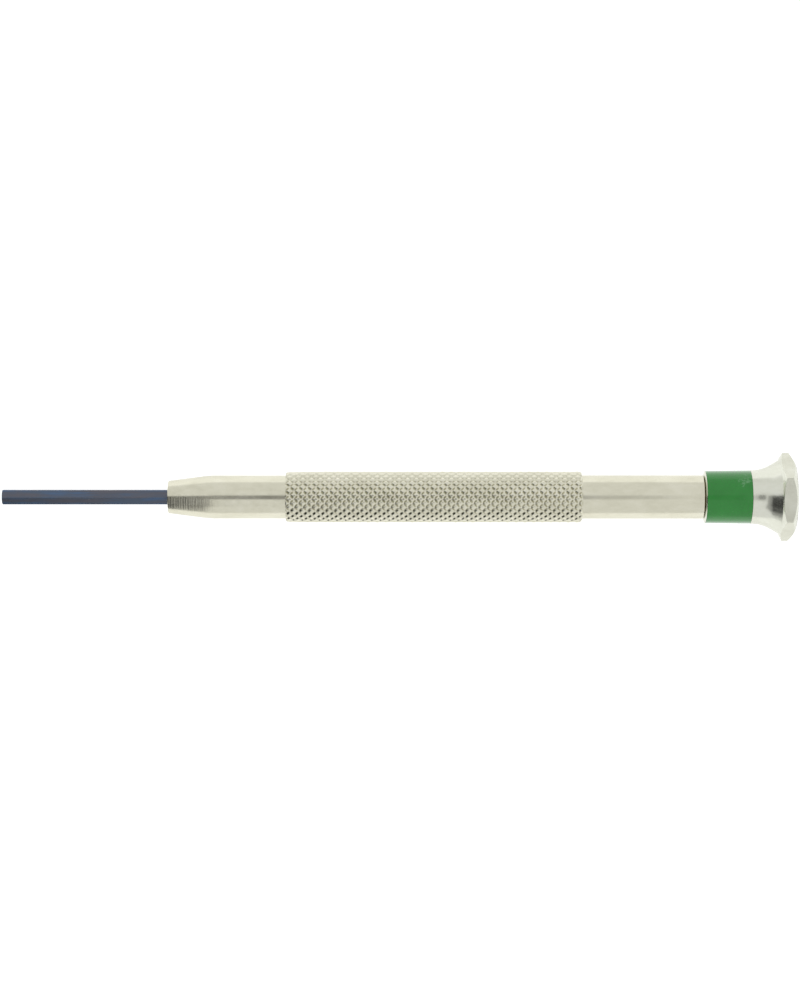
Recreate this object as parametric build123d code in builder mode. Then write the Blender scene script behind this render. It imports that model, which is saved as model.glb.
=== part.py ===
"""Watchmaker's hexagonal screwdriver with a free-turning head.

Millimetres. +X runs along the tool from the blade's tip to the head's dome, +Z is up, and the
origin is the centre of the blade's end face. One flat of the hexagonal head faces +Z.
"""

import os
from math import cos, pi, radians, sin, tan

from build123d import *

# ---------------------------------------------------------------- stations along +X
NOSE_FACE_X = 23.26  # front face of the handle
NOSE_TAPER_END_X = 29.0  # the taper meets the plain nose barrel
KNURL_START_X = 39.75
KNURL_END_X = 81.15
BARREL_END_X = 98.22  # rear face of the handle
FLANGE_X = 98.26  # front face of the bearing bush's flange
NECK_X = 98.44  # head's neck and size ring start here, against the flange
RING_END_X = 104.77  # size ring meets the head's shoulder
FLARE_START_X = 104.95
FLARE_END_X = 108.75  # the flare's cone meets the rim's back bevel
RIM_START_X = 109.25  # the back bevel meets the hexagonal rim
RIM_END_X = 110.1  # hexagonal rim meets the dome's bevel
DOME_EDGE_X = 110.91  # the bevel meets the dome
HEAD_END_X = 111.35  # top of the dome

# ---------------------------------------------------------------- handle
NOSE_FACE_R = 2.28
NOSE_R = 3.04
KNURL_R = 3.6
REAR_R = 3.06
NOSE_EDGE = 0.12  # small rounding of the front edge
NOSE_BLEND = 14.0  # soft blend of taper into barrel
KNURL_CHAMFER = 0.3
REAR_CHAMFER = 0.1

# ---------------------------------------------------------------- blade
BLADE_AF = 2.0  # hexagon across flats
BLADE_SEAT = 12.0  # length held in the handle
BLADE_CHAMFER = 0.15
BLADE_BORE_R = BLADE_AF / 2 / cos(pi / 6) + 0.015  # round bore, just clear of the corners
BLADE_BORE_DEPTH = BLADE_SEAT + 0.6
DRILL_POINT = radians(59)  # half angle of a drilled bore's end

# ---------------------------------------------------------------- blade set screw, M1.6
SCREW_X = 32.0
SCREW_ANGLE = -60  # about +X from +Y: square to a lower flat of the blade
SCREW_R = 0.8
SCREW_HOLE_R = 0.82
SCREW_TIP = BLADE_AF / 2 + 0.02  # distance of its point from the tool's axis
SCREW_LENGTH = 1.85
SCREW_SLOT_WIDTH = 0.3
SCREW_SLOT_DEPTH = 0.45
SCREW_CHAMFER = 0.18

# ---------------------------------------------------------------- head's pivot
PIN_R = 1.25
PIN_SEAT = 9.0  # length pressed into the handle
PIN_HEAD_R = 1.85
PIN_HEAD_X = 102.75
PIN_END_X = 104.2
RUNNING_FIT = 0.03
WASHER_R = 2.3
WASHER_THICKNESS = 0.47
WASHER_RECESS = 0.45
BUSH_R = 2.1
BUSH_END_X = 102.65
FLANGE_FRONT_R = 3.52
FLANGE_R = 3.68
FLANGE_BEVEL = 0.16
BALL_R = 0.75
BALL_GAP = 0.01

# ---------------------------------------------------------------- head and size ring
NECK_R = 2.9
CAVITY_END_X = 104.5
RING_FRONT_R = 3.69
RING_REAR_R = 3.77
RING_EDGE = 0.08
SHOULDER_R = 3.78
FLARE_R = 5.2  # radius of the hollow flare
FLARE_CONE = radians(30)  # the flare ends in a cone of this slope
HEAD_AF = 10.74
HEAD_CORNER_R = HEAD_AF / 2 / cos(pi / 6)
DOME_EDGE_R = 5.0

ALONG = Plane.YZ  # sections across the tool, normal +X
PROFILE = Plane.XY  # half profiles, turned about the X axis


def flare_points():
    """(x, r) of the flare's start, tangent to the neck, of its arc's end and of its cone's end."""
    arc_end_x = FLARE_START_X + FLARE_R * sin(FLARE_CONE)
    arc_end_r = SHOULDER_R + FLARE_R * (1 - cos(FLARE_CONE))
    cone_end_r = arc_end_r + (FLARE_END_X - arc_end_x) * tan(FLARE_CONE)
    return (FLARE_START_X, SHOULDER_R), (arc_end_x, arc_end_r), (FLARE_END_X, cone_end_r)


def handle_body():
    """The turned handle: nose, plain grip cylinder and rear barrel, with its bores."""
    blade_bore_end = NOSE_FACE_X + BLADE_BORE_DEPTH
    pin_bore_end = BARREL_END_X - PIN_SEAT - 0.3
    with BuildPart() as body:
        with BuildSketch(PROFILE):
            with BuildLine():
                Polyline(
                    (NOSE_FACE_X, 0),
                    (NOSE_FACE_X, NOSE_FACE_R),
                    (NOSE_TAPER_END_X, NOSE_R),
                    (KNURL_START_X, NOSE_R),
                    (KNURL_START_X, KNURL_R - KNURL_CHAMFER),
                    (KNURL_START_X + KNURL_CHAMFER, KNURL_R),
                    (KNURL_END_X - KNURL_CHAMFER, KNURL_R),
                    (KNURL_END_X, KNURL_R - KNURL_CHAMFER),
                    (KNURL_END_X, REAR_R),
                    (BARREL_END_X - REAR_CHAMFER, REAR_R),
                    (BARREL_END_X, REAR_R - REAR_CHAMFER),
                    (BARREL_END_X, 0),
                    close=True,
                )
            make_face()
        revolve(axis=Axis.X)
        circles = body.edges().filter_by(GeomType.CIRCLE)
        nose_edge = circles.group_by(Axis.X)[0]
        fillet(nose_edge, NOSE_EDGE)
        circles = body.edges().filter_by(GeomType.CIRCLE)
        taper_end = [e for e in circles if abs(e.center().X - NOSE_TAPER_END_X) < 0.01]
        fillet(taper_end, NOSE_BLEND)
        with BuildSketch(PROFILE):
            with BuildLine():
                Polyline(
                    (NOSE_FACE_X, 0),
                    (NOSE_FACE_X, BLADE_BORE_R),
                    (blade_bore_end, BLADE_BORE_R),
                    (blade_bore_end + BLADE_BORE_R / tan(DRILL_POINT), 0),
                    close=True,
                )
            make_face()
            with BuildLine():
                Polyline(
                    (BARREL_END_X, 0),
                    (BARREL_END_X, WASHER_R + RUNNING_FIT),
                    (BARREL_END_X - WASHER_RECESS, WASHER_R + RUNNING_FIT),
                    (BARREL_END_X - WASHER_RECESS, PIN_R),
                    (pin_bore_end, PIN_R),
                    (pin_bore_end - PIN_R / tan(DRILL_POINT), 0),
                    close=True,
                )
            make_face()
        revolve(axis=Axis.X, mode=Mode.SUBTRACT)
        with BuildSketch(screw_plane()):
            Circle(SCREW_HOLE_R)
        extrude(amount=NOSE_R + 1, mode=Mode.SUBTRACT)
    return body


def screw_plane():
    """Plane through the tool's axis whose normal is the set screw's outward axis."""
    angle = radians(SCREW_ANGLE)
    outward = (0, cos(angle), sin(angle))
    return Plane(origin=(SCREW_X, 0, 0), x_dir=(1, 0, 0), z_dir=outward)


def hex_blade():
    """A straight hexagonal bar with a corner at the top and lightly chamfered ends."""
    with BuildPart() as blade:
        with BuildSketch(ALONG):
            RegularPolygon(BLADE_AF / 2, 6, major_radius=False, rotation=30)
        extrude(amount=NOSE_FACE_X + BLADE_SEAT)
        with BuildSketch(PROFILE):
            with BuildLine():
                corner_r = BLADE_AF / 2 / cos(pi / 6)
                Polyline(
                    (0, 0),
                    (0, corner_r - BLADE_CHAMFER),
                    (BLADE_CHAMFER, corner_r),
                    (NOSE_FACE_X + BLADE_SEAT - BLADE_CHAMFER, corner_r),
                    (NOSE_FACE_X + BLADE_SEAT, corner_r - BLADE_CHAMFER),
                    (NOSE_FACE_X + BLADE_SEAT, 0),
                    close=True,
                )
            make_face()
        revolve(axis=Axis.X, mode=Mode.INTERSECT)
    return blade


def blade_set_screw():
    """Slotted grub screw, its flat point on one flat of the blade."""
    plane = screw_plane()
    with BuildPart() as screw:
        with BuildSketch(plane.offset(SCREW_TIP)):
            Circle(SCREW_R)
        extrude(amount=SCREW_LENGTH)
        rims = screw.edges().filter_by(GeomType.CIRCLE)
        chamfer(rims, SCREW_CHAMFER)
        with BuildSketch(plane.offset(SCREW_TIP + SCREW_LENGTH - SCREW_SLOT_DEPTH)):
            Rectangle(SCREW_SLOT_WIDTH, 3 * SCREW_R)
        extrude(amount=2 * SCREW_SLOT_DEPTH, mode=Mode.SUBTRACT)
    return screw


def pivot_pin():
    """Steel pin, pressed into the handle, whose wide end holds the bush and the head on."""
    with BuildPart() as pin:
        with BuildSketch(ALONG.offset(BARREL_END_X - PIN_SEAT)):
            Circle(PIN_R)
        extrude(amount=PIN_HEAD_X - BARREL_END_X + PIN_SEAT)
        chamfer(pin.edges().filter_by(GeomType.CIRCLE).group_by(Axis.X)[0], 0.2)
        with BuildSketch(ALONG.offset(PIN_HEAD_X)):
            Circle(PIN_HEAD_R)
        extrude(amount=PIN_END_X - PIN_HEAD_X)
        chamfer(pin.edges().filter_by(GeomType.CIRCLE).group_by(Axis.X)[-1], 0.2)
    return pin


def pivot_washer():
    """Thrust washer in the barrel's end, which keeps the flange off the handle."""
    start_x = BARREL_END_X - WASHER_RECESS
    with BuildPart() as washer:
        with BuildSketch(ALONG.offset(start_x)):
            Circle(WASHER_R)
            Circle(PIN_R + RUNNING_FIT, mode=Mode.SUBTRACT)
        extrude(amount=WASHER_THICKNESS)
    return washer


def bearing_bush():
    """Flanged bush pressed into the head's neck; its bevelled flange is the polished collar."""
    with BuildPart() as bush:
        with BuildSketch(PROFILE):
            with BuildLine():
                Polyline(
                    (FLANGE_X, PIN_R + RUNNING_FIT),
                    (FLANGE_X, FLANGE_FRONT_R),
                    (FLANGE_X + FLANGE_BEVEL, FLANGE_R),
                    (NECK_X, FLANGE_R),
                    (NECK_X, BUSH_R),
                    (BUSH_END_X, BUSH_R),
                    (BUSH_END_X, PIN_R + RUNNING_FIT),
                    close=True,
                )
            make_face()
        revolve(axis=Axis.X)
    return bush


def size_ring():
    """Coloured plastic sleeve on the head's neck, very slightly wider at the head."""
    with BuildPart() as ring:
        with BuildSketch(PROFILE):
            with BuildLine():
                Polyline(
                    (NECK_X, NECK_R),
                    (NECK_X, RING_FRONT_R),
                    (RING_END_X, RING_REAR_R),
                    (RING_END_X, NECK_R),
                    close=True,
                )
            make_face()
        revolve(axis=Axis.X)
        outer_rims = ring.edges().filter_by(GeomType.CIRCLE).filter_by(
            lambda e: e.radius > (NECK_R + RING_FRONT_R) / 2
        )
        fillet(outer_rims, RING_EDGE)
    return ring


def thrust_ball():
    """Steel ball between the pin's end and the head, which takes the finger's push."""
    with BuildPart() as ball:
        with Locations((PIN_END_X + BALL_GAP + BALL_R, 0, 0)):
            Sphere(BALL_R)
    return ball


def swivel_head():
    """Flared head with a domed end and six flats, hollow for the bush, pin and ball."""
    pocket_end = PIN_END_X + 2 * (BALL_R + BALL_GAP)
    flare_start, arc_end, cone_end = flare_points()
    with BuildPart() as head:
        with BuildSketch(PROFILE):
            with BuildLine():
                Polyline(
                    (HEAD_END_X, 0),
                    (NECK_X, 0),
                    (NECK_X, NECK_R),
                    (RING_END_X, NECK_R),
                    (RING_END_X, SHOULDER_R),
                    flare_start,
                )
                RadiusArc(flare_start, arc_end, FLARE_R)
                Polyline(
                    arc_end,
                    cone_end,
                    (RIM_START_X, HEAD_CORNER_R),
                    (RIM_END_X, HEAD_CORNER_R),
                    (DOME_EDGE_X, DOME_EDGE_R),
                )
                dome_depth = HEAD_END_X - DOME_EDGE_X
                dome_r = (DOME_EDGE_R**2 + dome_depth**2) / 2 / dome_depth
                RadiusArc((DOME_EDGE_X, DOME_EDGE_R), (HEAD_END_X, 0), dome_r)
            make_face()
        revolve(axis=Axis.X)
        with BuildSketch(ALONG.offset(NECK_X)):
            RegularPolygon(HEAD_AF / 2, 6, major_radius=False)
        extrude(amount=HEAD_END_X - NECK_X, mode=Mode.INTERSECT)
        with BuildSketch(PROFILE):
            with BuildLine():
                Polyline(
                    (NECK_X, 0),
                    (NECK_X, BUSH_R),
                    (CAVITY_END_X, BUSH_R),
                    (CAVITY_END_X, BALL_R + BALL_GAP),
                    (pocket_end, BALL_R + BALL_GAP),
                    (pocket_end, 0),
                    close=True,
                )
            make_face()
        revolve(axis=Axis.X, mode=Mode.SUBTRACT)
    return head


PIECES = {
    "handle_body": handle_body,
    "hex_blade": hex_blade,
    "blade_set_screw": blade_set_screw,
    "pivot_pin": pivot_pin,
    "pivot_washer": pivot_washer,
    "bearing_bush": bearing_bush,
    "size_ring": size_ring,
    "thrust_ball": thrust_ball,
    "swivel_head": swivel_head,
}

os.makedirs("parts", exist_ok=True)
for label, build_piece in PIECES.items():
    piece = build_piece()
    piece.part.label = label
    export_step(piece.part, f"parts/{label}.step")
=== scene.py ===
from math import atan2, copysign, cos, degrees, pi, radians, sin, tan

import bmesh
import bpy
from mathutils import Matrix, Vector


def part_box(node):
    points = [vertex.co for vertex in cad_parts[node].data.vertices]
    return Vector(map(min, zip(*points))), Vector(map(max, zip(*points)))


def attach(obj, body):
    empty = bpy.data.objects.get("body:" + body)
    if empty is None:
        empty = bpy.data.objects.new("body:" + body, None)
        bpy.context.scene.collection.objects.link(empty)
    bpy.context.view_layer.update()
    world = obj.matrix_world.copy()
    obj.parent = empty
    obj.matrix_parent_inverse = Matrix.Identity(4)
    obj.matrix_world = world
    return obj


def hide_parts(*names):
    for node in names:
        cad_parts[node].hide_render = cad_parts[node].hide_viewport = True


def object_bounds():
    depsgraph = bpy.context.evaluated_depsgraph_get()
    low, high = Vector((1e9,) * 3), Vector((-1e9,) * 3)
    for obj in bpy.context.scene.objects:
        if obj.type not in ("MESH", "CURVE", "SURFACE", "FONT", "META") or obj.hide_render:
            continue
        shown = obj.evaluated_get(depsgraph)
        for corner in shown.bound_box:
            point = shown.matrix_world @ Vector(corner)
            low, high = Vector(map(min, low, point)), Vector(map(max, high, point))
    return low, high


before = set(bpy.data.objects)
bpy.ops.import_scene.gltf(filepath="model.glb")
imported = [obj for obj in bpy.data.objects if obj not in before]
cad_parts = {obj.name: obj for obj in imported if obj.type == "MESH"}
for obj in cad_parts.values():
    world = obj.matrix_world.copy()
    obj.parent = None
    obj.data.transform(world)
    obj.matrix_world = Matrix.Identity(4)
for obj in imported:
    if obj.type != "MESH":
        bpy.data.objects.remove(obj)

CAD_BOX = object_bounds()
MM = 0.001

# ---------------------------------------------------------------- sizes, in millimetres


def box_mm(node):
    """A CAD node's lowest and highest corner, in millimetres."""
    low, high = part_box(node)
    return low / MM, high / MM


HANDLE_LOW, HANDLE_HIGH = box_mm("handle_body")
BLADE_LOW, BLADE_HIGH = box_mm("hex_blade")
HEAD_HIGH = box_mm("swivel_head")[1]
BUSH_LOW, BUSH_HIGH = box_mm("bearing_bush")
RING_LOW, RING_HIGH = box_mm("size_ring")
PIN_LOW = box_mm("pivot_pin")[0]
WASHER_LOW, WASHER_HIGH = box_mm("pivot_washer")
SCREW_LOW, SCREW_HIGH = box_mm("blade_set_screw")

HEX_HALF_ANGLE = pi / 6
DRILL_CONE = tan(radians(31))  # depth of a drilled bore's end as a share of its radius
RUNNING_FIT = 0.03  # clearance round the pin and the washer

NOSE_X = HANDLE_LOW.x
REAR_X = HANDLE_HIGH.x
NOSE_FACE_R = 2.28
NOSE_R = 3.04
NOSE_TAPER = 5.74  # length of the taper along the tool
NOSE_BLEND = 14.0  # radius where the taper meets the barrel
NOSE_EDGE = 0.12  # radius of the rounded front edge
NOSE_EDGE_SINK = 0.86  # how far inside the face's rim that rounding's centre lies, in radii
REAR_R = 3.06
BARREL_END_X = REAR_X - 0.07  # leaves a thin dark gap in front of the collar
REAR_EDGE = 0.05
BORE_CLEARANCE = 0.015
BORE_R = BLADE_HIGH.y / cos(HEX_HALF_ANGLE) + BORE_CLEARANCE
BORE_SPARE = 0.6  # the blade's bore runs on behind the blade
BORE_DEPTH = BLADE_HIGH.x - NOSE_X + BORE_SPARE
BORE_MOUTH = 0.1  # countersink at the bore's mouth
PIN_R = 1.25
PIN_BORE_SPARE = 0.3
PIN_SEAT = REAR_X - PIN_LOW.x
WASHER_RECESS = REAR_X - WASHER_LOW.x
WASHER_R = WASHER_HIGH.z + RUNNING_FIT  # radius of the washer's recess
TURNED = 144  # sides of every turned surface of the handle
HANDLE_SMOOTH = 60  # degrees: edges sharper than this stay sharp

GRIP_X = NOSE_X + 16.49  # knurling starts here
GRIP_LENGTH = 41.4
GRIP_R = HANDLE_HIGH.z
KNURL_STARTS = 18  # grooves in each direction
KNURL_STEPS = TURNED // KNURL_STARTS  # mesh steps from groove to groove
KNURL_PERIODS = 34  # diamonds along the grip
KNURL_TURN = radians(0.7)  # how far the grooves are turned about the axis
KNURL_DEPTH = 0.24
CREST_WEAR = 0.08  # largest share of the height that a diamond may lack
SCATTER = (12.9898, 78.233, 43758.5453)  # factors that make a repeatable scatter out of a sine
# From a groove's bottom to the crest: share of the way, and share of the height.
GROOVE = ((0, 0), (0.34, 0.8), (0.47, 0.93), (0.72, 0.98), (1, 1))
KNURL_FRONT_EASE = 5.0  # the crests rise to full height over this length
KNURL_FRONT_DROP = 0.09
KNURL_CHAMFER = 0.22  # turned off the crests at each end

FLAT_Z = HEAD_HIGH.z  # half the head's width across flats
HEAD_CORNER_R = FLAT_Z / cos(HEX_HALF_ANGLE)
SHOULDER_R = 3.78
SHOULDER_LENGTH = 0.18
SHOULDER_EDGE = 0.04
FLARE_R = 5.2  # radius of the hollow flare
FLARE_X = RING_HIGH.x + SHOULDER_LENGTH
FLARE_CONE = radians(30)  # the flare's arc ends in a cone of this slope
FLARE_END_X = FLARE_X + 3.8
RIM_START_X = FLARE_X + 4.3
RIM_END_X = HEAD_HIGH.x - 1.25
DOME_EDGE_X = HEAD_HIGH.x - 0.44
DOME_EDGE_R = 5.0
CONE_X = FLARE_X + FLARE_R * sin(FLARE_CONE)
CONE_R = SHOULDER_R + FLARE_R * (1 - cos(FLARE_CONE))
FLARE_END_R = CONE_R + (FLARE_END_X - CONE_X) * tan(FLARE_CONE)
BACK_SLOPE = (RIM_START_X - FLARE_END_X) / (HEAD_CORNER_R - FLARE_END_R)
FRONT_SLOPE = (DOME_EDGE_X - RIM_END_X) / (HEAD_CORNER_R - DOME_EDGE_R)
BLANK_SPARE = 0.2  # the turned blank is this much larger than the hexagon's corners
HEAD_SIDES = 240
HEAD_BEVEL = 0.05
FLAT_TILT = 0.02  # a flat's normal leans less than this along the tool
FLAT_TURN = 0.01  # and turns less than this from its sixth of a turn, counted in sixths
FLAT_MIN_AREA = 0.2  # square millimetres; keeps the bevels' narrow faces out
FLAT_MIN_R = SHOULDER_R * 1.2  # the flats lie farther out than this

COLLAR_FRONT_R = 3.12
COLLAR_R = BUSH_HIGH.z
COLLAR_END_X = RING_LOW.x
COLLAR_EDGE = 0.01
SLEEVE_R = PIN_R + 0.8  # the bush's sleeve, hidden in the head
SLEEVE_END_X = COLLAR_END_X + 2
RING_SIDES = 192  # sides of the collar and of the size ring
RING_SMOOTH = 40

RING_EDGE = 0.08
RING_TAPER = 0.08  # the ring's front end is this much smaller in radius
SCUFFED_SPOT = (RING_HIGH.x - 1.0, 2.5, 2.8)  # where the ring's plastic is rubbed
SCUFF_REACH = 1.7
NECK_R = 2.9

BLADE_EDGE = 0.045
BLADE_CHAMFER = 0.15
BLADE_CONE = 1.0  # length of the cones that chamfer the blade's ends
BLADE_CONE_SIDES = 96

SCREW_X = (SCREW_LOW.x + SCREW_HIGH.x) / 2
SCREW_ANGLE = radians(-60)
SCREW_R = (SCREW_HIGH.x - SCREW_LOW.x) / 2
SCREW_CLEARANCE = 0.02  # in its hole, and between its point and the blade
SCREW_TIP = BLADE_HIGH.y + SCREW_CLEARANCE
SCREW_LENGTH = 1.85
SCREW_SLOT_WIDTH = 0.3
SCREW_SLOT_DEPTH = 0.45
SCREW_EDGE = 0.18
SCREW_SIDES = 64
SCREW_HOLE_R = SCREW_R + SCREW_CLEARANCE
SCREW_HOLE_SIDES = 48
SCREW_HOLE_START = BLADE_HIGH.y * 0.4  # the hole starts inside the blade's bore


# ---------------------------------------------------------------- mesh helpers


def arc(centre, radius, start, end, steps):
    """Points (x, r) of an arc in the half profile, angles in degrees from +x towards +r."""
    points = []
    for i in range(steps + 1):
        a = radians(start + (end - start) * i / steps)
        points.append((centre[0] + radius * cos(a), centre[1] + radius * sin(a)))
    return points


def ring_at(bm, x, r, sides, turn=0.0):
    """One ring of vertices around the X axis; the first lies at the top, turned about X."""
    ring = []
    for i in range(sides):
        a = 2 * pi * i / sides + turn
        ring.append(bm.verts.new((x * MM, -r * sin(a) * MM, r * cos(a) * MM)))
    return ring


def join_rings(bm, a, b):
    """Quads between two rings of the same number of vertices."""
    n = len(a)
    for i in range(n):
        j = (i + 1) % n
        bm.faces.new((a[i], a[j], b[j], b[i]))


def cap(bm, ring, x):
    """Closes a ring with a fan round a vertex on the axis."""
    tip = bm.verts.new((x * MM, 0, 0))
    n = len(ring)
    for i in range(n):
        bm.faces.new((ring[i], ring[(i + 1) % n], tip))


def new_object(name, bm, smooth=30):
    """Turns a bmesh into a scene object, with outward faces, smooth below that angle."""
    bmesh.ops.recalc_face_normals(bm, faces=bm.faces)
    mesh = bpy.data.meshes.new(name)
    bm.to_mesh(mesh)
    bm.free()
    obj = bpy.data.objects.new(name, mesh)
    bpy.context.scene.collection.objects.link(obj)
    mesh.shade_smooth()
    mesh.set_sharp_from_angle(angle=radians(smooth))
    return obj


def turned_piece(name, profile, sides, closed=False, smooth=30):
    """A piece turned about the X axis from (x, r) points; points with r = 0 are on the axis."""
    bm = bmesh.new()
    inner = [p for p in profile if p[1] > 0]
    rings = [ring_at(bm, x, r, sides) for x, r in inner]
    for a, b in zip(rings, rings[1:]):
        join_rings(bm, a, b)
    if closed:
        join_rings(bm, rings[-1], rings[0])
    if profile[0][1] == 0:
        cap(bm, rings[0], profile[0][0])
    if profile[-1][1] == 0:
        cap(bm, rings[-1], profile[-1][0])
    return new_object(name, bm, smooth)


def apply_modifiers(obj):
    """Replaces the object's mesh by what its modifiers make of it."""
    depsgraph = bpy.context.evaluated_depsgraph_get()
    made = bpy.data.meshes.new_from_object(obj.evaluated_get(depsgraph))
    obj.modifiers.clear()
    old = obj.data
    obj.data = made
    bpy.data.meshes.remove(old)


def cut(obj, tool, operation):
    """Exact boolean of obj with tool, applied; the tool is removed."""
    modifier = obj.modifiers.new("cut", "BOOLEAN")
    modifier.operation = operation
    modifier.solver = "EXACT"
    modifier.object = tool
    apply_modifiers(obj)
    bpy.data.objects.remove(tool)


def hexagon_bar(name, across_flats, start_x, end_x, corner_up):
    """A plain hexagonal bar along X, with a corner or a flat at the top."""
    bm = bmesh.new()
    turn = 0 if corner_up else HEX_HALF_ANGLE
    r = across_flats / 2 / cos(HEX_HALF_ANGLE)
    rings = [ring_at(bm, x, r, 6, turn) for x in (start_x, end_x)]
    join_rings(bm, *rings)
    for ring in rings:
        bm.faces.new(ring)
    return new_object(name, bm)


# ---------------------------------------------------------------- handle


def groove_step(step):
    """Where a mesh step lies, counted in grooves, and how high it stands, from 0 to 1."""
    nearest = round(step / KNURL_STEPS)
    offset = step - nearest * KNURL_STEPS
    place, height = GROOVE[abs(offset)]
    return nearest + copysign(place, offset) / 2, height


def crest_wobble(along, across):
    """Small repeatable difference in height from one diamond to the next."""
    by_along, by_across, stretch = SCATTER
    value = sin(int(along // 1) * by_along + int(across // 1) * by_across) * stretch
    return 1 - CREST_WEAR + CREST_WEAR * (value - int(value // 1))


def knurl_radius(x, height):
    """Radius of the knurled surface, x from its front end, at a height from 0 to 1."""
    ease = max(0.0, 1 - x / KNURL_FRONT_EASE)
    crest = GRIP_R - KNURL_FRONT_DROP * ease**2
    end = min(x, GRIP_LENGTH - x)
    chamfer = GRIP_R - KNURL_CHAMFER + end
    return min(crest - KNURL_DEPTH * (1 - height), chamfer)


def knurled_grip(bm):
    """Lattice of vertices whose edges run along the grooves; returns its two end rings."""
    around = 2 * TURNED
    last = 2 * KNURL_STEPS * KNURL_PERIODS
    grid = {}
    for i in range(last + 1):
        for k in range(i % 2, around, 2):
            along, rise = groove_step((k + i) // 2)
            across, other_rise = groove_step((k - i) // 2)
            x = GRIP_LENGTH * (along - across) / 2 / KNURL_PERIODS
            r = knurl_radius(x, rise * other_rise * crest_wobble(along, across))
            a = pi * (along + across) / KNURL_STARTS + KNURL_TURN
            place = ((GRIP_X + x) * MM, -r * sin(a) * MM, r * cos(a) * MM)
            grid[i, k] = bm.verts.new(place)
    for i in range(last + 1):
        for k in range((i + 1) % 2, around, 2):
            corners = [grid[i, (k - 1) % around]]
            if i > 0:
                corners.append(grid[i - 1, k])
            corners.append(grid[i, (k + 1) % around])
            if i < last:
                corners.append(grid[i + 1, k])
            bm.faces.new(corners)
    front = [grid[0, k] for k in range(0, around, 2)]
    rear = [grid[last, k] for k in range(0, around, 2)]
    return front, rear


def nose_profile():
    """(x, r) points from the blade bore's end, round the nose, to the grip's shoulder."""
    taper = atan2(NOSE_R - NOSE_FACE_R, NOSE_TAPER)
    bore_end = NOSE_X + BORE_DEPTH
    edge = (NOSE_X + NOSE_EDGE, NOSE_FACE_R - NOSE_EDGE * NOSE_EDGE_SINK)
    blend_x = NOSE_X + NOSE_TAPER + NOSE_BLEND * tan(taper / 2)
    blend = (blend_x, NOSE_R - NOSE_BLEND)
    lean = degrees(taper)
    points = [(bore_end + BORE_R * DRILL_CONE, 0), (bore_end, BORE_R)]
    points += [(NOSE_X + BORE_MOUTH, BORE_R), (NOSE_X, BORE_R + BORE_MOUTH)]
    points += arc(edge, NOSE_EDGE, 180, 90 + lean, 5)
    points += arc(blend, NOSE_BLEND, 90 + lean, 90, 10)
    points += [(GRIP_X, NOSE_R)]
    return points


def rear_profile():
    """(x, r) points from the grip's rear shoulder, round the barrel's end, to the pin's bore."""
    grip_end = GRIP_X + GRIP_LENGTH
    recess_x = REAR_X - WASHER_RECESS
    bore_end = REAR_X - PIN_SEAT - PIN_BORE_SPARE
    edge = (BARREL_END_X - REAR_EDGE, REAR_R - REAR_EDGE)
    points = [(grip_end, REAR_R)]
    points += arc(edge, REAR_EDGE, 90, 0, 4)
    points += [(BARREL_END_X, WASHER_R), (recess_x, WASHER_R)]
    points += [(recess_x, PIN_R), (bore_end, PIN_R)]
    points += [(bore_end - PIN_R * DRILL_CONE, 0)]
    return points


def screw_matrix(distance):
    """Places something with its local Z along the set screw's outward axis."""
    outward = Vector((0, cos(SCREW_ANGLE), sin(SCREW_ANGLE)))
    along = Vector((1, 0, 0))
    side = outward.cross(along)
    turn = Matrix((along, side, outward)).transposed().to_4x4()
    place = Matrix.Translation((SCREW_X * MM, 0, 0)) @ Matrix.Translation(outward * distance * MM)
    return place @ turn


def handle_body():
    """The whole turned and knurled handle as one closed mesh, with the set screw's hole."""
    bm = bmesh.new()
    nose = nose_profile()
    rear = rear_profile()
    front_rings = [ring_at(bm, x, r, TURNED) for x, r in nose[1:]]
    for a, b in zip(front_rings, front_rings[1:]):
        join_rings(bm, a, b)
    cap(bm, front_rings[0], nose[0][0])
    front, back = knurled_grip(bm)
    join_rings(bm, front_rings[-1], front)
    rear_rings = [ring_at(bm, x, r, TURNED) for x, r in rear[:-1]]
    join_rings(bm, back, rear_rings[0])
    for a, b in zip(rear_rings, rear_rings[1:]):
        join_rings(bm, a, b)
    cap(bm, rear_rings[-1], rear[-1][0])
    body = new_object("handle", bm, HANDLE_SMOOTH)
    drill = bmesh.new()
    bmesh.ops.create_cone(
        drill,
        cap_ends=True,
        segments=SCREW_HOLE_SIDES,
        radius1=SCREW_HOLE_R * MM,
        radius2=SCREW_HOLE_R * MM,
        depth=NOSE_R * MM,
        matrix=screw_matrix(SCREW_HOLE_START + NOSE_R / 2),
    )
    cut(body, new_object("screw_drill", drill), "DIFFERENCE")
    body.data.set_sharp_from_angle(angle=radians(HANDLE_SMOOTH))
    return body


# ---------------------------------------------------------------- blade and set screw


def hex_blade():
    """Hexagonal bar with chamfered ends and very slightly rounded corners."""
    bar = hexagon_bar("blade", 2 * BLADE_HIGH.y, BLADE_LOW.x, BLADE_HIGH.x, True)
    corner_r = BLADE_HIGH.y / cos(HEX_HALF_ANGLE)
    ends = [
        (BLADE_LOW.x, 0),
        (BLADE_LOW.x, corner_r - BLADE_CHAMFER),
        (BLADE_LOW.x + BLADE_CONE, corner_r - BLADE_CHAMFER + BLADE_CONE),
        (BLADE_HIGH.x - BLADE_CONE, corner_r - BLADE_CHAMFER + BLADE_CONE),
        (BLADE_HIGH.x, corner_r - BLADE_CHAMFER),
        (BLADE_HIGH.x, 0),
    ]
    cut(bar, turned_piece("blade_ends", ends, BLADE_CONE_SIDES), "INTERSECT")
    bevel(bar, BLADE_EDGE, 2, 20)
    return bar


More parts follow.
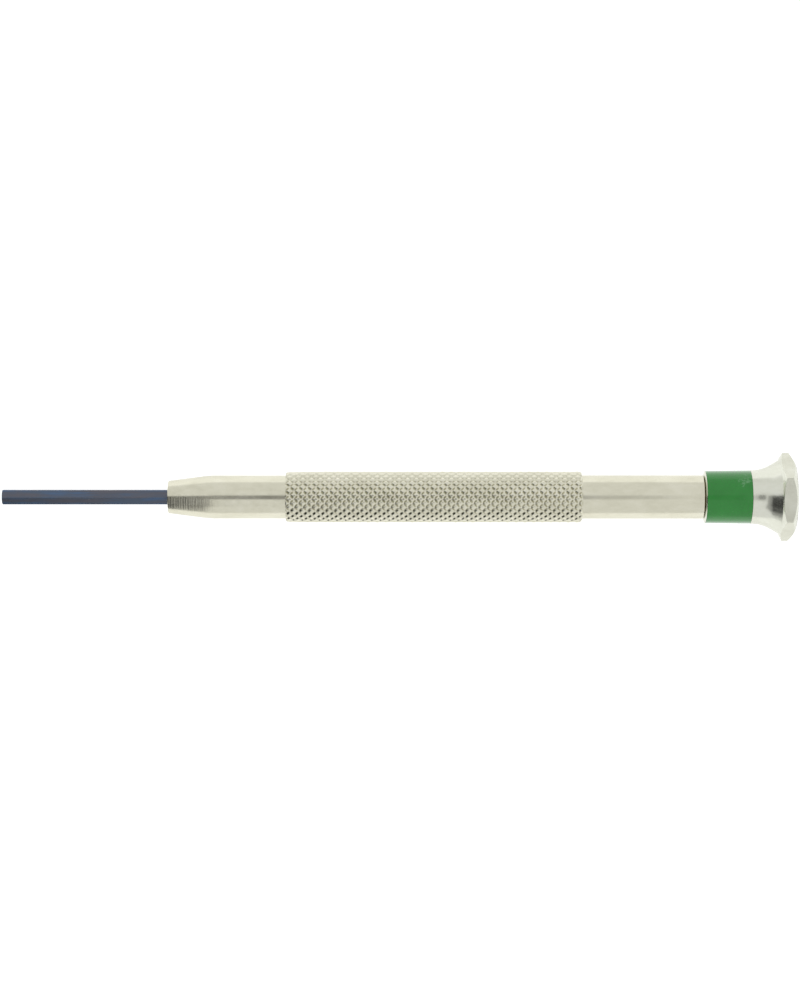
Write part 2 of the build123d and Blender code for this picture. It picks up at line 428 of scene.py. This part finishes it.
def bevel(obj, width, segments, angle):
    """Rounds the edges sharper than the angle, with shading that keeps the flats flat."""
    modifier = obj.modifiers.new("bevel", "BEVEL")
    modifier.width = width * MM
    modifier.segments = segments
    modifier.limit_method = "ANGLE"
    modifier.angle_limit = radians(angle)
    modifier.harden_normals = True
    modifier.use_clamp_overlap = True
    apply_modifiers(obj)


def set_screw():
    """Slotted grub screw with chamfered ends."""
    outer = SCREW_TIP + SCREW_LENGTH
    profile = [
        (SCREW_TIP, 0),
        (SCREW_TIP, SCREW_R - SCREW_EDGE),
        (SCREW_TIP + SCREW_EDGE, SCREW_R),
        (outer - SCREW_EDGE, SCREW_R),
        (outer, SCREW_R - SCREW_EDGE),
        (outer, 0),
    ]
    screw = turned_piece("set_screw", profile, SCREW_SIDES)
    stand_up = Matrix.Rotation(-pi / 2, 4, "Y")
    screw.data.transform(screw_matrix(0) @ stand_up)
    slot = bmesh.new()
    # The slot's cutter sticks out over the screw's sides and top.
    size = Matrix.Diagonal((SCREW_SLOT_WIDTH * MM, 3 * SCREW_R * MM, 2 * SCREW_SLOT_DEPTH * MM, 1))
    bmesh.ops.create_cube(slot, size=1, matrix=screw_matrix(outer) @ size)
    cut(screw, new_object("screw_slot", slot), "DIFFERENCE")
    screw.data.set_sharp_from_angle(angle=radians(30))
    return screw


# ---------------------------------------------------------------- head, collar and ring


def swivel_head():
    """Flared, domed head with six flats, bevelled along every edge of the flats."""
    blank_r = HEAD_CORNER_R + BLANK_SPARE
    dome_depth = HEAD_HIGH.x - DOME_EDGE_X
    dome_r = (DOME_EDGE_R**2 + dome_depth**2) / 2 / dome_depth
    dome_angle = degrees(atan2(DOME_EDGE_R, dome_r - dome_depth))
    profile = [(RING_LOW.x, 0), (RING_LOW.x, NECK_R), (RING_HIGH.x, NECK_R)]
    profile += [(RING_HIGH.x, SHOULDER_R - SHOULDER_EDGE)]
    profile += [(RING_HIGH.x + SHOULDER_EDGE, SHOULDER_R)]
    profile += arc((FLARE_X, SHOULDER_R + FLARE_R), FLARE_R, -90, -90 + degrees(FLARE_CONE), 40)
    profile += [(FLARE_END_X, FLARE_END_R)]
    profile += [(RIM_START_X + BLANK_SPARE * BACK_SLOPE, blank_r)]
    profile += [(RIM_END_X - BLANK_SPARE * FRONT_SLOPE, blank_r)]
    profile += [(DOME_EDGE_X, DOME_EDGE_R)]
    profile += arc((HEAD_HIGH.x - dome_r, 0), dome_r, dome_angle, 0, 16)[1:-1]
    profile += [(HEAD_HIGH.x, 0)]
    head = turned_piece("head", profile, HEAD_SIDES)
    prism = hexagon_bar("head_prism", 2 * FLAT_Z, RING_LOW.x - 1, HEAD_HIGH.x + 1, False)
    cut(head, prism, "INTERSECT")
    bevel(head, HEAD_BEVEL, 2, 25)
    return head


def collar():
    """The bush's flange and sleeve: a thin polished collar, bevelled right to its rear face."""
    profile = [
        (SLEEVE_END_X, PIN_R + RUNNING_FIT),
        (BUSH_LOW.x, PIN_R + RUNNING_FIT),
        (BUSH_LOW.x, COLLAR_FRONT_R),
        (COLLAR_END_X - 2 * COLLAR_EDGE, COLLAR_R - COLLAR_EDGE),
        (COLLAR_END_X - COLLAR_EDGE, COLLAR_R),
        (COLLAR_END_X, COLLAR_R),
        (COLLAR_END_X, SLEEVE_R),
        (SLEEVE_END_X, SLEEVE_R),
    ]
    return turned_piece("collar", profile, RING_SIDES, closed=True, smooth=RING_SMOOTH)


def size_ring():
    """Plastic sleeve with rounded ends, very slightly wider at the head."""
    front_r = RING_HIGH.z - RING_TAPER
    rear_r = RING_HIGH.z
    front = (RING_LOW.x + RING_EDGE, front_r - RING_EDGE)
    rear = (RING_HIGH.x - RING_EDGE, rear_r - RING_EDGE)
    profile = [(RING_LOW.x, NECK_R)]
    profile += arc(front, RING_EDGE, 180, 90, 6)
    profile += arc(rear, RING_EDGE, 90, 0, 6)
    profile += [(RING_HIGH.x, NECK_R)]
    return turned_piece("size_ring_sleeve", profile, RING_SIDES, closed=True, smooth=RING_SMOOTH)


# ---------------------------------------------------------------- materials


class Nodes:
    """Short calls for building one material's node tree, in millimetres."""

    def __init__(self, name):
        self.material = bpy.data.materials.new(name)
        self.material.use_nodes = True
        self.tree = self.material.node_tree
        self.tree.nodes.clear()
        self.shader = self.add("ShaderNodeBsdfPrincipled")
        output = self.add("ShaderNodeOutputMaterial")
        self.link(self.shader.outputs["BSDF"], output.inputs["Surface"])
        coordinates = self.add("ShaderNodeTexCoord")
        self.place = coordinates.outputs["Object"]

    def add(self, kind):
        return self.tree.nodes.new(kind)

    def link(self, source, target):
        self.tree.links.new(source, target)

    def stretched(self, scale):
        """Object coordinates multiplied by scale, counted per millimetre."""
        mapping = self.add("ShaderNodeMapping")
        mapping.inputs["Scale"].default_value = [s / MM for s in scale]
        self.link(self.place, mapping.inputs["Vector"])
        return mapping.outputs["Vector"]

    def noise(self, scale, detail=3.0, rough=0.5):
        """Noise from 0 to 1, with scale cycles per millimetre along X, Y and Z."""
        node = self.add("ShaderNodeTexNoise")
        node.inputs["Scale"].default_value = 1.0
        node.inputs["Detail"].default_value = detail
        node.inputs["Roughness"].default_value = rough
        self.link(self.stretched(scale), node.inputs["Vector"])
        return node.outputs["Fac"]

    def along(self, start, end):
        """1 before start and 0 after end, both in millimetres along the tool."""
        split = self.add("ShaderNodeSeparateXYZ")
        self.link(self.place, split.inputs[0])
        span = self.add("ShaderNodeMapRange")
        span.inputs["From Min"].default_value = start * MM
        span.inputs["From Max"].default_value = end * MM
        span.inputs["To Min"].default_value = 1.0
        span.inputs["To Max"].default_value = 0.0
        self.link(split.outputs["X"], span.inputs["Value"])
        return span.outputs["Result"]

    def near(self, point, reach):
        """1 at a point given in millimetres, falling to 0 at that reach from it."""
        distance = self.add("ShaderNodeVectorMath")
        distance.operation = "DISTANCE"
        self.link(self.place, distance.inputs[0])
        distance.inputs[1].default_value = [c * MM for c in point]
        fall = self.math("DIVIDE", distance.outputs["Value"], reach * MM)
        return self.math("MAXIMUM", self.math("SUBTRACT", 1.0, fall), 0.0)

    def ramp(self, value, stops):
        """Colour ramp; stops are (position, linear colour or grey)."""
        node = self.add("ShaderNodeValToRGB")
        elements = node.color_ramp.elements
        while len(elements) < len(stops):
            elements.new(0.5)
        for element, (position, colour) in zip(elements, stops):
            element.position = position
            grey = (colour,) * 3 if isinstance(colour, (int, float)) else colour
            element.color = (*grey, 1)
        self.link(value, node.inputs["Fac"])
        return node.outputs["Color"]

    def mix(self, factor, a, b):
        """Colour a where the factor is 0 and b where it is 1."""
        node = self.add("ShaderNodeMix")
        node.data_type = "RGBA"
        sockets = (node.inputs[0], node.inputs[6], node.inputs[7])  # factor and both colours
        for value, socket in zip((factor, a, b), sockets):
            if isinstance(value, tuple):
                socket.default_value = (*value, 1)
            elif isinstance(value, float):
                socket.default_value = value
            else:
                self.link(value, socket)
        return node.outputs[2]

    def math(self, operation, a, b=0.0):
        """One arithmetic step on two values."""
        node = self.add("ShaderNodeMath")
        node.operation = operation
        for value, socket in zip((a, b), node.inputs):
            if isinstance(value, (int, float)):
                socket.default_value = value
            else:
                self.link(value, socket)
        return node.outputs["Value"]

    def bump(self, height, depth, previous=None):
        """Bump of that depth in millimetres where height is 1."""
        node = self.add("ShaderNodeBump")
        node.inputs["Strength"].default_value = 1.0
        node.inputs["Distance"].default_value = depth * MM
        self.link(height, node.inputs["Height"])
        if previous is not None:
            self.link(previous, node.inputs["Normal"])
        return node.outputs["Normal"]

    def set(self, **values):
        """Constants or links for the shader's sockets, named with _ for spaces."""
        for name, value in values.items():
            socket = self.shader.inputs[name.replace("_", " ")]
            if isinstance(value, (int, float)):
                socket.default_value = value
            elif isinstance(value, tuple):
                socket.default_value = (*value, 1)
            else:
                self.link(value, socket)


NICKEL = (0.655, 0.640, 0.520)
NICKEL_PALE = (0.700, 0.685, 0.570)
NICKEL_DULL = (0.600, 0.585, 0.470)
EDGE_TINT = (0.90, 0.90, 0.88)  # keeps the edges of the plate off full white
BLUE_DARK = (0.094, 0.120, 0.164)
BLUE_LIGHT = (0.090, 0.137, 0.224)
VIOLET_LIGHT = (0.118, 0.118, 0.140)
VIOLET_DARK = (0.104, 0.114, 0.142)
BARE_STEEL = (0.42, 0.42, 0.40)
GREEN_DARK = (0.006, 0.178, 0.015)
GREEN_LIGHT = (0.009, 0.200, 0.019)
GREEN_RUBBED = (0.085, 0.270, 0.100)
SCREW_STEEL = (0.36, 0.36, 0.35)
PIN_STEEL = (0.55, 0.55, 0.56)
WASHER_BRASS = (0.70, 0.50, 0.20)
BALL_STEEL = (0.62, 0.62, 0.63)


def nickel(name, tint, rough, line_depth, grain_depth, spread=0.05, taper_lines=0.0):
    """Turned nickel plate: fine lines round the tool, faint mottling of tone and gloss.

    spread is how far the roughness strays from rough, and taper_lines is the depth of the
    coarser tool marks left on the nose's taper.
    """
    n = Nodes(name)
    tone = n.noise((0.25, 0.5, 0.5), 4, 0.6)
    stops = [(0.3, NICKEL_DULL), (0.5, NICKEL), (0.72, NICKEL_PALE)]
    colour = n.ramp(tone, [(at, tuple(c * t for c, t in zip(plate, tint))) for at, plate in stops])
    lines = n.noise((9.0, 0.04, 0.04), 3, 0.7)
    grain = n.noise((14.0, 14.0, 14.0), 3, 0.6)
    gloss = n.ramp(n.noise((1.2, 1.2, 1.2), 4, 0.6), [(0.3, rough - spread), (0.7, rough + spread)])
    normal = n.bump(lines, line_depth)
    normal = n.bump(grain, grain_depth, normal)
    if taper_lines:
        marks = n.noise((7.0, 0.03, 0.03), 2, 0.6)
        on_taper = n.along(NOSE_X + NOSE_TAPER - 0.4, NOSE_X + NOSE_TAPER + 1.2)
        normal = n.bump(n.math("MULTIPLY", marks, on_taper), taper_lines, normal)
    n.set(Base_Color=colour, Metallic=1.0, Roughness=gloss, Normal=normal)
    n.set(Specular_Tint=EDGE_TINT)
    return n.material


def blued_steel():
    """Heat-blued steel: brownish violet and blue streaks along the bar, and tiny bright nicks."""
    n = Nodes("blued_steel")
    streak = n.noise((0.10, 1.8, 1.8), 4, 0.55)
    cloud = n.noise((0.30, 1.1, 1.1), 3, 0.6)
    blue = n.ramp(cloud, [(0.40, BLUE_DARK), (0.62, BLUE_LIGHT)])
    violet = n.ramp(cloud, [(0.38, VIOLET_LIGHT), (0.60, VIOLET_DARK)])
    colour = n.mix(n.ramp(streak, [(0.42, 0.0), (0.58, 1.0)]), violet, blue)
    nicks = n.ramp(n.noise((1.1, 3.0, 3.0), 2, 0.5), [(0.755, 0.0), (0.775, 1.0)])
    colour = n.mix(nicks, colour, BARE_STEEL)
    lines = n.noise((0.5, 18.0, 18.0), 3, 0.6)
    gloss = n.ramp(cloud, [(0.3, 0.30), (0.7, 0.42)])
    n.set(Base_Color=colour, Metallic=1.0, Roughness=gloss, Normal=n.bump(lines, 0.0012))
    return n.material


def green_plastic():
    """Glossy moulded plastic with faint handling marks and one rubbed spot."""
    n = Nodes("green_plastic")
    cloud = n.noise((0.5, 0.5, 0.5), 3, 0.5)
    colour = n.ramp(cloud, [(0.35, GREEN_DARK), (0.65, GREEN_LIGHT)])
    rubbed = n.math("MULTIPLY", n.near(SCUFFED_SPOT, SCUFF_REACH), 0.22)
    wear = n.math("ADD", n.noise((2.2, 5.0, 5.0), 4, 0.7), rubbed)
    scuff = n.ramp(wear, [(0.66, 0.0), (0.72, 1.0)])
    colour = n.mix(scuff, colour, GREEN_RUBBED)
    gloss = n.ramp(scuff, [(0.0, 0.17), (1.0, 0.42)])
    waves = n.noise((1.5, 1.5, 1.5), 2, 0.5)
    n.set(Base_Color=colour, Roughness=gloss, Normal=n.bump(waves, 0.002), IOR=1.3)
    n.set(Coat_Weight=1.0, Coat_IOR=1.4, Coat_Roughness=0.15)
    return n.material


def steel(name, colour, rough):
    """Plain turned steel or brass for the small inner pieces."""
    n = Nodes(name)
    tone = n.noise((2.0, 2.0, 2.0), 3, 0.5)
    darker = tuple(c * 0.85 for c in colour)
    shade = n.ramp(tone, [(0.35, darker), (0.65, colour)])
    gloss = n.ramp(tone, [(0.3, rough), (0.7, rough + 0.08)])
    lines = n.noise((12.0, 12.0, 12.0), 2, 0.6)
    n.set(Base_Color=shade, Metallic=1.0, Roughness=gloss, Normal=n.bump(lines, 0.0006))
    return n.material


def glowing(name, level):
    """A plain surface that gives the same light everywhere."""
    material = bpy.data.materials.new(name)
    material.use_nodes = True
    tree = material.node_tree
    tree.nodes.clear()
    glow = tree.nodes.new("ShaderNodeEmission")
    glow.inputs["Strength"].default_value = level
    output = tree.nodes.new("ShaderNodeOutputMaterial")
    tree.links.new(glow.outputs["Emission"], output.inputs["Surface"])
    return material


# ---------------------------------------------------------------- pieces on their bodies


def assign(obj, *materials):
    obj.data.materials.clear()
    for material in materials:
        obj.data.materials.append(material)


def is_flat(face):
    """True for a face of the head's six flats."""
    if abs(face.normal.x) > FLAT_TILT:
        return False
    sector = atan2(face.normal.y, face.normal.z) / (2 * HEX_HALF_ANGLE)
    facing = abs(sector - round(sector)) < FLAT_TURN
    outside = face.center.yz.length > FLAT_MIN_R * MM
    return facing and outside and face.area > FLAT_MIN_AREA * MM * MM


def build_pieces():
    """Every visible piece, its body, the CAD node it stands for, its slot and its materials."""
    barrel = nickel(
        "nickel_plate",
        (1, 1, 1),
        rough=0.18,
        line_depth=0.0006,
        grain_depth=0.0003,
        taper_lines=0.04,
    )
    polished = nickel(
        "polished_nickel",
        (1.02, 1.06, 1.14),
        rough=0.2,
        line_depth=0.0001,
        grain_depth=0.0001,
        spread=0.02,
    )
    satin = nickel(
        "satin_nickel",
        (0.97, 1.0, 1.06),
        rough=0.38,
        line_depth=0.0002,
        grain_depth=0.0010,
    )
    screw_steel = steel("screw_steel", SCREW_STEEL, 0.3)
    plan = [
        (handle_body(), "handle", "handle_body", "nickel_plate", [barrel]),
        (hex_blade(), "blade", "hex_blade", "blued_steel", [blued_steel()]),
        (set_screw(), "set_screw", "blade_set_screw", "screw_steel", [screw_steel]),
        (collar(), "head", "bearing_bush", "collar_nickel", [polished]),
        (size_ring(), "head", "size_ring", "green_plastic", [green_plastic()]),
        (swivel_head(), "head", "swivel_head", "head_nickel", [polished, satin]),
    ]
    for piece, body, node, slot, materials in plan:
        assign(piece, *materials)
        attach(piece, body)
        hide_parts(node)
    head = plan[-1][0]
    for face in head.data.polygons:
        face.material_index = 1 if is_flat(face) else 0
    inner = {
        "pivot_pin": steel("pin_steel", PIN_STEEL, 0.15),
        "pivot_washer": steel("washer_brass", WASHER_BRASS, 0.25),
        "thrust_ball": steel("ball_steel", BALL_STEEL, 0.08),
    }
    for node, material in inner.items():
        assign(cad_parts[node], material)


# ---------------------------------------------------------------- studio

SENSOR = 36.0  # millimetres, across the image's longer side
VIEW_HEIGHT = 139.41  # millimetres of the tool's plane that the image's height takes in
CAMERA_DISTANCE = 360.0
CAMERA_SHIFT = 0.045  # the tool lies that little left of the image's middle
CAMERA_LEAN = radians(4.9)  # the camera stands a little towards +Y of straight above
TENT_LIGHT = 0.93
TABLE_LIGHT = 1.24
TABLE_HALF_SIZE = 2.0  # metres
SLOT_LIGHT = 0.31
SLOT_END_LIGHT = 0.70
FOLD_LIGHT = 0.38
DARK = 0.03
# Name, lowest and highest corner in millimetres, and light of each card: the tent's slot for
# the lens, its grey folds, and its dark opening.
TENT_CARDS = (
    ("lens_slot", (8, -26, 200), (92, 46, 201), SLOT_LIGHT),
    ("lens_slot_end", (92, -26, 200), (145, 46, 201), SLOT_END_LIGHT),
    ("fold_low", (-34, -150, 140), (9, 28, 141), FOLD_LIGHT),
    ("fold_high", (-110, -150, 222), (-34, 44, 223), FOLD_LIGHT),
    ("fold_side_low", (-50, -151, 0), (-12, -150, 140), FOLD_LIGHT),
    ("fold_side_high", (-110, -151, 140), (-12, -150, 222), FOLD_LIGHT),
    ("opening_top", (-400, -150, 222), (-110, 44, 223), DARK),
    ("opening_side_low", (-400, -151, 0), (-50, -150, 140), DARK),
    ("opening_side_high", (-400, -151, 140), (-110, -150, 222), DARK),
    ("opening_end", (-401, -150, 0), (-400, 44, 222), DARK),
)


def make_camera():
    """Almost straight above the tool, blade to the left."""
    data = bpy.data.cameras.new("camera")
    data.sensor_width = SENSOR
    data.lens = SENSOR * CAMERA_DISTANCE / VIEW_HEIGHT
    data.clip_start = 0.01
    data.clip_end = 10.0
    camera = bpy.data.objects.new("camera", data)
    bpy.context.scene.collection.objects.link(camera)
    centre_x = (CAD_BOX[0].x + CAD_BOX[1].x) / 2 + CAMERA_SHIFT * MM
    back = Vector((0, sin(CAMERA_LEAN), cos(CAMERA_LEAN)))
    camera.location = Vector((centre_x, 0, 0)) + back * CAMERA_DISTANCE * MM
    camera.rotation_euler = (-CAMERA_LEAN, 0, 0)
    bpy.context.scene.camera = camera


def make_table():
    """The table passes under the grip's front edge and the head's flat, which it touches."""
    grip_x = GRIP_X + KNURL_CHAMFER
    flat_x = FLARE_END_X + (FLAT_Z - FLARE_END_R) * BACK_SLOPE
    slope = atan2(FLAT_Z - GRIP_R, flat_x - grip_x)
    bm = bmesh.new()
    bmesh.ops.create_grid(bm, x_segments=2, y_segments=2, size=TABLE_HALF_SIZE)
    table = new_object("table", bm)
    table.location = (flat_x * MM, 0, -FLAT_Z * MM)
    table.rotation_euler = (0, slope, 0)
    assign(table, glowing("table_top", TABLE_LIGHT))


def make_card(name, low, high, level):
    """A glowing card that shows only in reflections; low and high are its corners."""
    bm = bmesh.new()
    centre = (Vector(low) + Vector(high)) / 2 * MM
    size = (Vector(high) - Vector(low)) * MM
    place = Matrix.Translation(centre) @ Matrix.Diagonal((*size, 1))
    bmesh.ops.create_cube(bm, size=1, matrix=place)
    card = new_object(name, bm)
    assign(card, glowing(name, level))
    card.visible_camera = False
    card.visible_diffuse = False
    card.visible_shadow = False


def make_light():
    """A white tent all round, a slot for the camera and a dark opening at the blade's side."""
    world = bpy.data.worlds.new("tent")
    bpy.context.scene.world = world
    world.use_nodes = True
    background = world.node_tree.nodes["Background"]
    background.inputs["Color"].default_value = (1, 1, 1, 1)
    background.inputs["Strength"].default_value = TENT_LIGHT
    for card in TENT_CARDS:
        make_card(*card)


bpy.context.scene.view_settings.view_transform = "Standard"
build_pieces()
make_camera()
make_table()
make_light()
